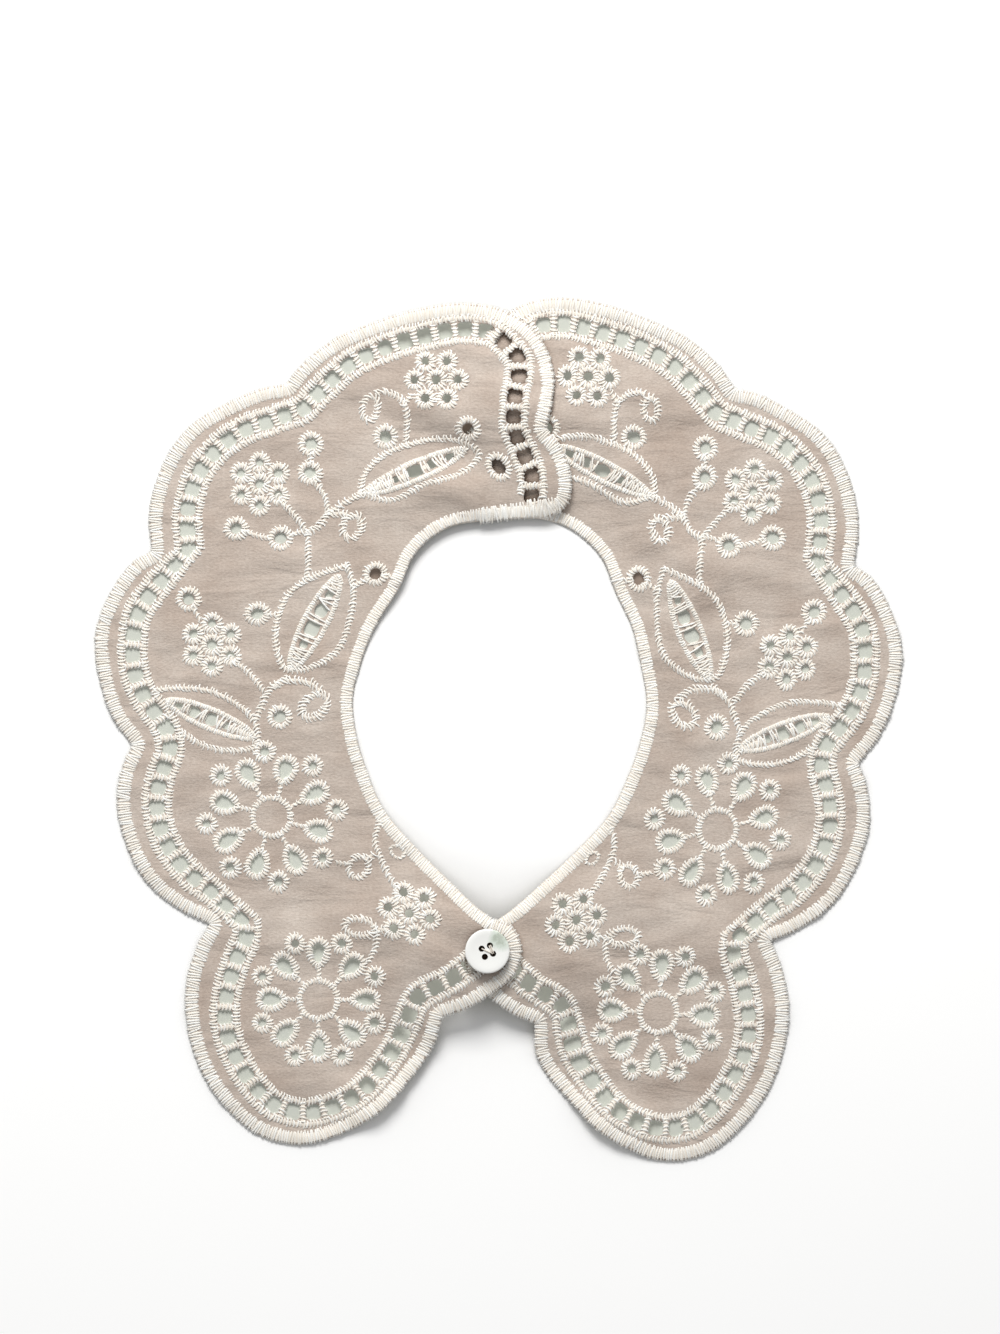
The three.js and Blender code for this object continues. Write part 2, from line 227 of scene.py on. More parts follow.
# Stems: their stitches' share of the row's length at the start and at the end, then their points
STEMS = (
    (0.9, 1.2, ((-24.2, 73.6), (-23.9, 80.7), (-25, 84.3), (-27.5, 86.1), (-30, 86.8), (-31.8, 86.2))),
    (1.0, 1.0, ((-24.6, 83.5), (-22.6, 86.2))),
    (0.9, 0.9, ((-48.9, 71.4), (-49, 68.2))),
    (1.0, 1.0, ((-48, 63.6), (-45.4, 60.2), (-44.2, 55.6))),
    (1.1, 1.1, ((-44.2, 55.6), (-40, 58.2), (-35.6, 60.3))),
    (1.2, 1.2, ((-44.2, 55.6), (-46.8, 51.7), (-49.7, 50.4))),
    (1.2, 1.2, ((-43.4, 55), (-41, 55.4), (-39.2, 54.8))),
    (1.0, 1.0, ((-57.4, 59.4), (-53.6, 55.4), (-51, 52.1), (-49.7, 50.4))),
    (1.0, 1.0, ((-49.7, 50.4), (-49.5, 42.1), (-50, 38.5))),
    (0.9, 0.9, ((-65.8, 50.7), (-62.4, 49.4), (-59.6, 49))),
    (0.9, 0.9, ((-54, 49.8), (-51.5, 50.6), (-49.7, 50.4))),
    (0.9, 0.9, ((-60, 29), (-58, 29))),
    (0.9, 0.9, ((-38, 36.5), (-35.6, 37.7), (-34.2, 38.4))),
    (0.9, 0.9, ((-29.8, 39.2), (-28, 39))),
    (1.1, 1.1, ((-55.1, 12.6), (-60.2, 8.6), (-61.4, 5.7), (-63.4, 1.6))),
    (1.1, 1.4, ((-58.5, 10.6), (-55.5, 11.8), (-52, 11.9), (-48.7, 11), (-46.4, 9))),
    (0.9, 0.9, ((-79.4, 30.8), (-77.6, 27.6))),
    (1.0, 1.0, ((-70, 17.6), (-67, 15.6), (-64.2, 13.2), (-61.2, 9))),
    (0.9, 0.9, ((-63.6, -4), (-62.4, -5))),
    (1.0, 1.0, ((-31, -25), (-32.2, -29.4), (-31, -33.5), (-28.5, -39), (-26.4, -42.2))),
    (1.2, 1.2, ((-34.6, -34.4), (-32.4, -33.2))),
    (0.7, 0.7, ((-39.2, -36), (-42.4, -35.4))),
    (1.1, 1.1, ((-31.4, -52.6), (-29, -52.9))),
    (1.0, 1.0, ((-31.6, -53.6), (-31.9, -57.2), (-34, -61.4))),
)

# Curls: each an oval's middle, its long and short radius, its slope in degrees, and its stitches' share
CURLS = (
    (-33.5, 82.5, 3.1, 2.0, 80, 1.15), (-38.1, 51.8, 3.1, 2.3, 66, 1.25), (-48, 5.2, 3.8, 2.6, 40, 1.3),
    (-36.4, -36.6, 3.0, 2.4, 60, 1.05), (-36.2, -52.2, 4.0, 2.2, -8, 1.15),
    (-26.4, -32.6, 1.9, 1.4, -40, 0.5),
)

# Eyelets that show cloth behind them instead of the card, darkened as painted shade: the left half has both,
# the right the first
DARK_EYELETS = ((-32.1, 39.5), (-8, 77))

# The right half is the left one mirrored, turned by some 3 degrees, and eased in its width and length
RIGHT_ACROSS, RIGHT_ALONG = 0.975, 1.017
RIGHT_LEAN_X, RIGHT_LEAN_Y = 0.072, -0.05
RIGHT_X, RIGHT_Y = 0.85, 0.1
RIGHT_GRAIN = 3.2

# Where the right half has been pulled out of the pattern: place, reach, and how far each way
RIGHT_PULLS = ((-25, 35, 24, -1.8, -0.4), (-17, -87, 16, 2.2, 0), (-8, 77, 8, 2.2, -1.2))

# The stitches that join the halves at the back of the neck run along these points
JOIN = ((-5, 54.6), (3, 55.8), (10, 56.6), (15.5, 57.4))

# Where the cloth lifts off the table: round bumps by their middle, height and reach each way
BUMPS = (
    (3, 80, 5, 46, 30), (-2, -58, 7, 40, 36), (-30, -101, 2.2, 20, 14), (27, -104, 2.2, 20, 14),
)

# Soft folds and creases by their two ends, height and half width
FOLDS = (
    (-40, 74, 6, 71, -1.6, 12), (-26, 62, 10, 60, 0.8, 9), (34, 64, 52, 36, 1.4, 11),
    (30, -46, 60, -58, 1.2, 12), (-28, -48, -52, -56, 1.0, 12),
)
CREASES = (
    (-84, 56, -60, 58, -0.35, 5), (-72, 42, -44, 46, 0.4, 6), (-92, 22, -66, 31, 0.3, 5),
    (-70, -9, -44, -5, -0.4, 6), (-90, -28, -74, -20, 0.35, 5), (-46, -34, -24, -30, 0.4, 5),
    (-74, -62, -58, -54, -0.35, 5), (-70, -90, -34, -92, 0.45, 6), (-30, -64, -16, -58, 0.5, 5),
    (-58, 80, -30, 88, 0.35, 6), (-20, 97, 4, 92, -0.4, 5), (28, 92, 52, 82, 0.35, 6),
    (52, 60, 80, 55, -0.4, 5), (44, 40, 66, 44, 0.45, 6), (38, 12, 62, 4, -0.45, 6),
    (72, 20, 92, 30, 0.3, 5), (40, -8, 60, -2, 0.4, 5), (74, -28, 90, -20, 0.35, 5),
    (26, -36, 48, -30, -0.4, 5), (34, -92, 66, -88, 0.4, 6), (16, -60, 34, -66, 0.5, 5),
    (56, -52, 74, -62, -0.35, 5), (-20, 75, 4, 60, -1.4, 9), (-30, 84, -12, 88, -0.6, 7),
    (-22, 68, -6, 62, 0.6, 6),
)

# Fine crinkles left by pressing: wavelength, direction in degrees, height, phase; each wanders along its way
CRINKLES = (
    (9.0, 74, 0.09, 0.3), (6.2, 103, 0.07, 1.9), (14.0, 62, 0.15, 4.1), (21.0, 96, 0.2, 2.6),
    (17.0, 8, 0.1, 5.2),
)
CRINKLE_WANDER = 1.6

# The left half climbs on to the right one between these two places across the collar
CLIMB_FROM, CLIMB_TO = -38, -22
CLIMB = WALL + EDGE_RAISE + LAYER_GAP


def smooth_step(low, high, value):
    t = np.clip((value - low) / (high - low), 0, 1)
    return t * t * (3 - 2 * t)


def fold_height(x, y, rows):
    """Soft ridges and troughs, each a straight line with a rounded section."""
    height = np.zeros_like(x)
    for x1, y1, x2, y2, top, half in rows:
        along_x, along_y = x2 - x1, y2 - y1
        t = np.clip(((x - x1) * along_x + (y - y1) * along_y) / (along_x**2 + along_y**2), 0, 1)
        away = np.hypot(x - x1 - t * along_x, y - y1 - t * along_y) / half
        height += top * np.clip(1 - away**2, 0, 1) ** 2
    return height


def cloth_height(x, y, is_left):
    """Height of the cloth above the table at places of the flat pattern."""
    height = fold_height(x, y, FOLDS) + fold_height(x, y, CREASES)
    for middle_x, middle_y, top, reach_x, reach_y in BUMPS:
        reach = ((x - middle_x) / reach_x) ** 2 + ((y - middle_y) / reach_y) ** 2
        height += top * np.clip(1 - reach, 0, 1) ** 2
    for wave, direction, top, phase in CRINKLES:
        turn = math.radians(direction)
        wander = CRINKLE_WANDER * np.sin(x / (1.7 * wave) + phase) * np.sin(y / (1.3 * wave) - phase)
        across = x * math.cos(turn) + y * math.sin(turn)
        height += top * np.sin(across * 2 * math.pi / wave + phase + wander)
    height = np.maximum(height, 0)
    if is_left:
        height += CLIMB * smooth_step(CLIMB_FROM, CLIMB_TO, x)
    return height


def spline(points, steps=CURVE_STEPS):
    """A centripetal curve through the points."""
    knots = [np.array(p, float) for p in points]
    ends = [2 * knots[0] - knots[1], *knots, 2 * knots[-1] - knots[-2]]
    curve = []
    for p0, p1, p2, p3 in zip(ends, ends[1:], ends[2:], ends[3:]):
        t1 = np.linalg.norm(p1 - p0) ** 0.5
        t2 = t1 + np.linalg.norm(p2 - p1) ** 0.5
        t3 = t2 + np.linalg.norm(p3 - p2) ** 0.5
        for t in np.linspace(t1, t2, steps, endpoint=False):
            a1 = ((t1 - t) * p0 + t * p1) / t1
            a2 = ((t2 - t) * p1 + (t - t1) * p2) / (t2 - t1)
            a3 = ((t3 - t) * p2 + (t - t2) * p3) / (t3 - t2)
            b1 = ((t2 - t) * a1 + t * a2) / t2
            b2 = ((t3 - t) * a2 + (t - t1) * a3) / (t3 - t1)
            curve.append(((t2 - t) * b1 + (t - t1) * b2) / (t2 - t1))
    return [*curve, knots[-1]]


class Outline:
    """The half's edge as points, with the ladder's inset and the edging's width at each."""

    def __init__(self):
        points, self.marks, self.edge = [], [], []
        for name, corners in STRETCHES:
            curve = spline(corners)[:-1]
            points += curve
            self.marks += [(name, i / CURVE_STEPS) for i in range(len(curve))]
            self.edge += [NECK_EDGE_WIDTH if name == "neck" else EDGE_WIDTH] * len(curve)
        self.points = np.array(points)[:, :2]
        self.ladder = np.array(points)[:, 2]
        self.edge = np.array(self.edge)


def inset_line(points, distance, closed):
    """A line inside the edge at each point's own distance, and which point each of its points is from."""
    count = len(points)
    line, source = [], []
    for i, point in enumerate(points):
        headings = []
        for near, far in ((i - 1, i), (i, i + 1)):
            if closed or 0 <= near and far < count:
                step = points[far % count] - points[near % count]
                headings.append(math.atan2(-step[0], step[1]))
        turn = headings[-1] - headings[0]
        turn = math.atan2(math.sin(turn), math.cos(turn))
        fan = max(1, int(turn / 0.2)) if turn > 0.02 else 0
        for k in range(fan + 1):
            share = k / fan if fan else 0.5
            angle = headings[0] + share * turn
            reach = distance[i - 1] + share * (distance[i] - distance[i - 1]) if fan else distance[i]
            candidate = point + reach * np.array([math.cos(angle), math.sin(angle)])
            if (np.hypot(*(points - candidate).T) >= 0.975 * distance).all():
                line.append(candidate)
                source.append(i)
    return np.array(line), source


def even_places(line, start, pitch):
    """Places at an even pitch along a line, each with its direction."""
    steps = np.hypot(*np.diff(line, axis=0).T)
    walked = np.concatenate([[0], np.cumsum(steps)])
    places = []
    for distance in np.arange(start, walked[-1], pitch):
        i = min(int(np.searchsorted(walked, distance, side="right")) - 1, len(steps) - 1)
        step = line[i + 1] - line[i]
        place = line[i] + step * (distance - walked[i]) / steps[i]
        places.append((place, math.atan2(step[1], step[0])))
    return places


def place_shape(shape, middle, turn):
    """Points given along and across a direction, turned and moved to their place."""
    cos, sin = math.cos(turn), math.sin(turn)
    return np.array([(middle[0] + a * cos - b * sin, middle[1] + a * sin + b * cos) for a, b in shape])


def rounded_shape(long, wide, squareness, count=16):
    """A rounded hole between an oval (squareness 2) and a box (higher)."""
    shape = []
    for k in range(count):
        turn = 2 * math.pi * (k + 0.5) / count
        cos, sin = math.cos(turn), math.sin(turn)
        reach = (abs(cos) ** squareness + abs(sin) ** squareness) ** (-1 / squareness)
        shape.append((long * reach * cos, wide * reach * sin))
    return shape


def drop_shape(long, wide, grow=0.0, count=18):
    """A petal's hole: round outside, drawn to a point towards the middle of its rosette."""
    shape = []
    for k in range(count):
        turn = 2 * math.pi * k / count
        taper = 0.8 + 0.2 * math.cos(turn)
        shape.append(((long + grow) * math.cos(turn), (wide + grow) * math.sin(turn) * taper))
    return shape


def leaf_shape(long, wide, count=22):
    """A slim leaf, pointed at both ends."""
    turns = [math.pi * k / count for k in range(count)]
    top = [(long * math.cos(turn), wide * math.sin(turn) ** LEAF_POINTED) for turn in turns]
    return top + [(-a, -b) for a, b in top]


def is_inside(points, loop):
    """Which points are inside the loop: a line to the right of each crosses it an odd number of times."""
    x, y = points[:, :1], points[:, 1:2]
    x1, y1 = loop.T
    x2, y2 = np.roll(loop, -1, axis=0).T
    level = np.where(y1 == y2, 1, y2 - y1)
    crossed = ((y1 > y) != (y2 > y)) & (x < x1 + (y - y1) * (x2 - x1) / level)
    return crossed.sum(axis=1) % 2 == 1


class Half:
    """One half's holes and rows of stitches, in the flat pattern."""

    def __init__(self, is_left, seed):
        self.is_left = is_left
        self.dice = np.random.default_rng(seed)
        self.outline = Outline()
        self.holes = []
        self.rows = {family: [] for family in FAMILIES}
        self.add_edging()
        self.add_ladder()
        for middle_x, middle_y, turn, petal_reach, dot_reach in ROSETTES:
            self.add_rosette((middle_x, middle_y), turn, petal_reach, dot_reach)
        for middle_x, middle_y, turn in FLOWERS:
            self.add_flower(middle_x, middle_y, turn)
        for middle_x, middle_y, draw, slope in EYELETS:
            self.add_eyelet("flowers", (middle_x, middle_y), EYELET_HOLE, draw, slope)
        for leaf in LEAVES:
            self.add_leaf(leaf)
        for share_from, share_to, points in STEMS:
            line = spline(points)
            self.rows["stems"].append((line, False, np.linspace(share_from, share_to, len(line))))
        for middle_x, middle_y, long, wide, slope, share in CURLS:
            oval = place_shape(rounded_shape(long, wide, 2.0, 24), (middle_x, middle_y), math.radians(slope))
            self.rows["stems"].append((oval, True, share))

    def lay_points(self, points):
        """Pattern points where this half lies."""
        points = np.asarray(points, float)
        if self.is_left:
            return points
        for pull_x, pull_y, pull_reach, across, along in RIGHT_PULLS:
            away = np.hypot(points[:, 0] - pull_x, points[:, 1] - pull_y) / pull_reach
            points = points + np.outer(np.clip(1 - away**2, 0, 1) ** 2, (across, along))
        x, y = points[:, 0], points[:, 1]
        return np.column_stack([
            RIGHT_X - RIGHT_ACROSS * x + RIGHT_LEAN_X * y,
            RIGHT_Y - RIGHT_LEAN_Y * x + RIGHT_ALONG * y,
        ])

    def leave_plain(self, cover):
        """Drops the holes and rows, but not the edging, from where the other half lies over this one."""
        self.holes = [hole for hole in self.holes if not is_inside(self.lay_points(hole), cover).all()]
        for family in FAMILIES:
            if family == "edging":
                continue
            kept = []
            for line, closed, share in self.rows[family]:
                hidden = is_inside(self.lay_points(line), cover)
                if closed and not hidden.all():
                    kept.append((line, closed, share))
                elif not closed and (~hidden).sum() > 1:
                    shares = np.broadcast_to(share, len(line))[~hidden]
                    kept.append((np.asarray(line)[~hidden], closed, shares))
            self.rows[family] = kept

    def uneven(self, amount):
        return 1 + amount * self.dice.uniform(-1, 1)

    def add_edging(self):
        line, source = inset_line(self.outline.points, self.outline.edge / 2, True)
        share = [self.outline.edge[i] / EDGE_WIDTH for i in source]
        self.rows["edging"].append((line, True, share))
        if self.is_left:
            self.rows["edging"].append((spline(JOIN), False, 1.2))

    def add_ladder(self):
        first = self.outline.marks.index(LADDER_FROM)
        last = self.outline.marks.index(LADDER_TO)
        stretch = self.outline.points[first:last + 1]
        inset = self.outline.ladder[first:last + 1]
        line, _ = inset_line(stretch, inset, False)
        step = LADDER_END - line[-1]
        across = np.array([step[1], -step[0]]) / math.hypot(*step)
        for offset in (-LADDER_RAIL, LADDER_RAIL):
            rail, _ = inset_line(stretch, inset + offset, False)
            self.rows["ladder"].append((np.vstack([rail, LADDER_END + offset * across]), False, 1.1))
        line = np.vstack([line, LADDER_END])
        half = LADDER_HOLE / 2
        for place, turn in even_places(line, LADDER_START + LADDER_PITCH / 2, LADDER_PITCH):
            shape = rounded_shape(half * self.uneven(0.08), half * self.uneven(0.08), 3.4 * self.uneven(0.25))
            self.holes.append(place_shape(shape, place, turn + 0.08 * self.dice.uniform(-1, 1)))
        for place, turn in even_places(line, LADDER_START, LADDER_PITCH):
            bar = place_shape([(0, -half - 0.3), (0, half + 0.3)], place, turn)
            self.rows["ladder"].append((bar, False, 0.95))

    def add_eyelet(self, family, middle, hole, draw=1.0, slope=0):
        """A small hole pulled a little out of round, with its ring of stitches."""
        turn = math.radians(slope + 40 * self.dice.uniform(-1, 1) * (draw == 1.0))
        long, wide = hole * draw * self.uneven(0.14), hole / draw**0.5 * self.uneven(0.14)
        squareness = self.dice.uniform(1.5, 2.6)
        self.holes.append(place_shape(rounded_shape(long + 0.2, wide + 0.2, squareness, 12), middle, turn))
        reach = RING_STITCH["Length"] / 2 + 0.05
        ring = rounded_shape(long + reach, wide + reach, 2.0, 20)
        self.rows[family].append((place_shape(ring, middle, turn), True, 1.0))

    def add_rosette(self, middle, turn, petal_reach, dot_reach):
        ring = place_shape(rounded_shape(ROSETTE_RING, ROSETTE_RING, 2.0, 40), middle, 0)
        self.rows["rosettes"].append((ring, True, 0.9))
        for k in range(PETALS):
            angle = math.radians(turn) + 2 * math.pi * k / PETALS
            outward = np.array([math.cos(angle), math.sin(angle)])
            place = middle + petal_reach * outward
            long, wide = PETAL_LONG / 2 * self.uneven(0.06), PETAL_WIDE / 2 * self.uneven(0.08)
            self.holes.append(place_shape(drop_shape(long, wide, 0.2), place, angle))
            rim = place_shape(drop_shape(long, wide, 0.95), place, angle)
            self.rows["rosettes"].append((rim, True, 0.95))
            thread = [middle + reach * outward for reach in (ROSETTE_RING + 0.8, petal_reach - long - 0.8)]
            self.rows["stems"].append((np.array(thread), False, 0.7))
            between = angle + math.pi / PETALS
            dot = middle + dot_reach * np.array([math.cos(between), math.sin(between)])
            self.add_eyelet("rosettes", dot, SMALL_HOLE)

    def add_flower(self, middle_x, middle_y, turn):
        middle = np.array([middle_x, middle_y])
        self.add_eyelet("flowers", middle, SMALL_HOLE * 1.05)
        for k in range(FLOWER_PETALS):
            angle = math.radians(turn) + 2 * math.pi * k / FLOWER_PETALS
            petal = middle + FLOWER_REACH * np.array([math.cos(angle), math.sin(angle)])
            self.add_eyelet("flowers", petal, SMALL_HOLE)

    def add_leaf(self, leaf):
        """The outline, and a slim core: thick rows beside its holes, and its tips and bars filled across."""
        self.rows["leaves"].append((spline(leaf["outline"]), False, 1.0))
        (x1, y1), (x2, y2), wide = leaf["core"]
        long, turn = math.hypot(x2 - x1, y2 - y1), math.atan2(y2 - y1, x2 - x1)
        middle = ((x1 + x2) / 2, (y1 + y2) / 2)
        core = leaf_shape(long / 2, (wide - CORE_ROW_IN) / 2)
        self.rows["cores"].append((place_shape(core, middle, turn), True, 0.72))
        ends = [CORE_ROW_IN]
        for along, hole_long, hole_wide in leaf["holes"]:
            place = (x1 + along * (x2 - x1), y1 + along * (y2 - y1))
            hole = rounded_shape(hole_long / 2, hole_wide / 2, self.dice.uniform(1.7, 3.4), 14)
            self.holes.append(place_shape(hole, place, turn + 0.3 * self.dice.uniform(-1, 1)))
            ends += [along * long - hole_long / 2, along * long + hole_long / 2]
        ends.append(long - CORE_ROW_IN)
        for start, end in zip(ends[::2], ends[1::2]):
            walked = np.linspace(start, end, max(3, int((end - start) / 0.5)))
            line = place_shape([(step - long / 2, 0) for step in walked], middle, turn)
            widths = wide * (2 * np.sqrt(walked / long * (1 - walked / long))) ** LEAF_POINTED
            self.rows["cores"].append((line, False, np.maximum(widths, 1) / CORE_STITCH["Length"]))


def colour(value):
    """A colour of the screen, as RRGGBB, in linear light."""
    channels = [int(value[i:i + 2], 16) / 255 for i in (0, 2, 4)]
    return (*[c / 12.92 if c <= 0.04045 else ((c + 0.055) / 1.055) ** 2.4 for c in channels], 1)


def add_node(tree, kind, inputs=None, **settings):
    """A node with its settings, and its inputs as values, outputs, or nodes for their first output."""
    node = tree.nodes.new(kind)
    for name, value in settings.items():
        setattr(node, name, value)
    for name, value in (inputs or {}).items():
        if isinstance(value, bpy.types.Node):
            value = value.outputs[0]
        if isinstance(value, bpy.types.NodeSocket):
            tree.links.new(value, node.inputs[name])
        else:
            node.inputs[name].default_value = value
    return node


def new_material(name):
    material = bpy.data.materials.new(name)
    material.use_nodes = True
    tree = material.node_tree
    tree.nodes.clear()
    return material, tree


def finish_material(tree, inputs):
    """The surface, which ends the material's tree."""
    shader = add_node(tree, "ShaderNodeBsdfPrincipled", inputs)
    add_node(tree, "ShaderNodeOutputMaterial", {"Surface": shader})


def ramp(tree, factor, *stops):
    """A colour ramp with stops of (place, colour), or (place, grey level in linear light)."""
    node = add_node(tree, "ShaderNodeValToRGB", {"Fac": factor})
    elements = node.color_ramp.elements
    while len(elements) < len(stops):
        elements.new(0.5)
    for element, (place, value) in zip(elements, stops):
        element.position = place
        element.color = colour(value) if isinstance(value, str) else (value, value, value, 1)
    return node.outputs["Color"]


def cotton_material():
    """Woven cotton lawn: matt, with slubs and faint cloudy dyeing, and painted shade close under other cloth.
    """
    material, tree = new_material("woven_cotton_lawn")
    flat = add_node(tree, "ShaderNodeUVMap", uv_map="pattern")
    threads = []
    for direction in ("X", "Y"):
        wave = add_node(tree, "ShaderNodeTexWave", {
            "Vector": flat, "Scale": 2 * math.pi / (20 * WEAVE_PITCH), "Distortion": 0.5, "Detail": 1.0,
            "Detail Scale": 0.15}, bands_direction=direction, wave_profile="SIN")
        threads.append(wave.outputs["Fac"])
    weave = add_node(tree, "ShaderNodeMath", {0: threads[0], 1: threads[1]}, operation="MULTIPLY")
    slub_place = add_node(tree, "ShaderNodeMapping", {"Vector": flat, "Scale": (0.55, 1.0, 1)})
    slubs = add_node(tree, "ShaderNodeTexNoise", {
        "Vector": slub_place, "Scale": 2.1, "Detail": 4, "Roughness": 0.6}).outputs["Fac"]
    clouds = add_node(tree, "ShaderNodeTexNoise", {
        "Vector": flat, "Scale": 0.05, "Detail": 4, "Roughness": 0.55}).outputs["Fac"]
    cloud_colour = ramp(tree, clouds, (0.3, "CBBAAD"), (0.7, "E3D7CC"))
    slub_colour = ramp(tree, slubs, (0.32, "C2B9B2"), (0.68, "FFFFFF"))
    tinted = add_node(tree, "ShaderNodeMix", {0: 0.42, 6: cloud_colour, 7: slub_colour}, **DARKEN)
    weave_tone = add_node(tree, "ShaderNodeMapRange", {"Value": weave, "To Min": 0.9, "To Max": 1.04})
    toned = add_node(tree, "ShaderNodeVectorMath", {
        0: tinted.outputs[2], "Scale": weave_tone}, operation="SCALE")
    crumple_place = add_node(tree, "ShaderNodeMapping", {
        "Vector": flat, "Rotation": (0, 0, 0.2), "Scale": (0.045, 0.12, 1)})
    crumple = add_node(tree, "ShaderNodeTexNoise", {
        "Vector": crumple_place, "Scale": 1.0, "Detail": 3, "Roughness": 0.42,
        "Distortion": 0.6}).outputs["Fac"]
    relief = {}
    for height, strength, distance in ((crumple, 1.0, 0.0015), (slubs, 0.6, 0.0003), (weave, 0.5, 0.00006)):
        bump = add_node(tree, "ShaderNodeBump", {
            "Strength": strength, "Distance": distance, "Height": height, **relief})
        relief = {"Normal": bump}
    # Painted shade: the cloth's colour is browned and darkened where other cloth or thread lies close by.
    close = add_node(tree, "ShaderNodeAmbientOcclusion", {"Distance": 0.0035}, samples=8).outputs["AO"]
    cover = ramp(tree, close, (0.35, "8C7869"), (0.8, "FFFFFF"))
    cloth_with_painted_shade = add_node(tree, "ShaderNodeMix", {0: 1.0, 6: toned, 7: cover}, **DARKEN)
    finish_material(tree, {
        "Base Color": cloth_with_painted_shade.outputs[2], "Roughness": 0.9, "Specular IOR Level": 0.2,
        "Sheen Weight": 0.25, "Sheen Roughness": 0.5, **relief})
    return material


def thread_material():
    """Mercerised cotton thread of two plies: ivory, softly shining, each stitch a little different, the
    padding darkest as painted shade.
    """
    material, tree = new_material("mercerised_cotton_thread")
    tone = add_node(tree, "ShaderNodeAttribute", attribute_name="tone").outputs["Fac"]
    along = add_node(tree, "ShaderNodeAttribute", attribute_name="along").outputs["Fac"]
    # The padding carries no tone, so it takes the lowest stop: a darker ivory that is painted shade between
    # the stitches.
    shade = ramp(tree, tone, (0.0, "EFE6DA"), (0.1, "F6F1E8"), (0.5, "FCF8F1"), (1.0, "FFFFFC"))
    turns = add_node(tree, "ShaderNodeMath", {0: along, 1: 110.0}, operation="MULTIPLY")
    twist = add_node(tree, "ShaderNodeMath", {0: turns}, operation="SINE")
    bump = add_node(tree, "ShaderNodeBump", {"Strength": 0.25, "Distance": 0.00004, "Height": twist})
    finish_material(tree, {
        "Base Color": shade, "Roughness": 0.55, "Specular IOR Level": 0.35,
        "Sheen Weight": 0.2, "Sheen Roughness": 0.4, "Normal": bump})
    return material


def shell_material(middle):
    """Polished mother-of-pearl: almost white, a grey green cloud at the right, and painted shade that makes
    its sides and holes dark brown.
    """
    material, tree = new_material("polished_mother_of_pearl")
    place = add_node(tree, "ShaderNodeTexCoord").outputs["Object"]
    noise = add_node(tree, "ShaderNodeTexNoise", {
        "Vector": place, "Scale": 420, "Detail": 4, "Roughness": 0.6, "Distortion": 0.8}).outputs["Fac"]
    cloud_middle = ((middle[0] + 3.4) * MM, (middle[1] + 3.2) * MM, 0)
    offset = add_node(tree, "ShaderNodeVectorMath", {0: place, 1: cloud_middle}, operation="SUBTRACT")
    flat = add_node(tree, "ShaderNodeVectorMath", {0: offset, 1: (1, 1, 0)}, operation="MULTIPLY")
    away = add_node(tree, "ShaderNodeVectorMath", {0: flat}, operation="LENGTH").outputs["Value"]
    close = add_node(tree, "ShaderNodeMapRange", {
        "Value": away, "From Min": 0.0012, "From Max": 0.0042, "To Min": 1.0, "To Max": 0.0})
    cloud = add_node(tree, "ShaderNodeMath", {0: close, 1: noise}, operation="MULTIPLY")
    pearl = ramp(tree, cloud, (0.12, "FFFFFC"), (0.3, "E4ECE2"), (0.5, "C3CCBE"), (0.62, "E9E4DF"))
    # Painted shade: everything from about 0.35 mm below the top down, the side wall and the holes' walls, is
    # darkened to brown.
    height = add_node(tree, "ShaderNodeSeparateXYZ", {"Vector": place}).outputs["Z"]
    below = add_node(tree, "ShaderNodeMapRange", {
        "Value": height, "From Min": (middle[2] - 0.6) * MM, "From Max": (middle[2] - 0.34) * MM})
    painted_side_shade = ramp(tree, below, (0.0, "3B2F24"), (1.0, "FFFFFF"))
    tinted = add_node(tree, "ShaderNodeMix", {0: 1.0, 6: pearl, 7: painted_side_shade}, **DARKEN)
    finish_material(tree, {
        "Base Color": tinted.outputs[2], "Roughness": 0.22, "Specular IOR Level": 0.4})
    return material


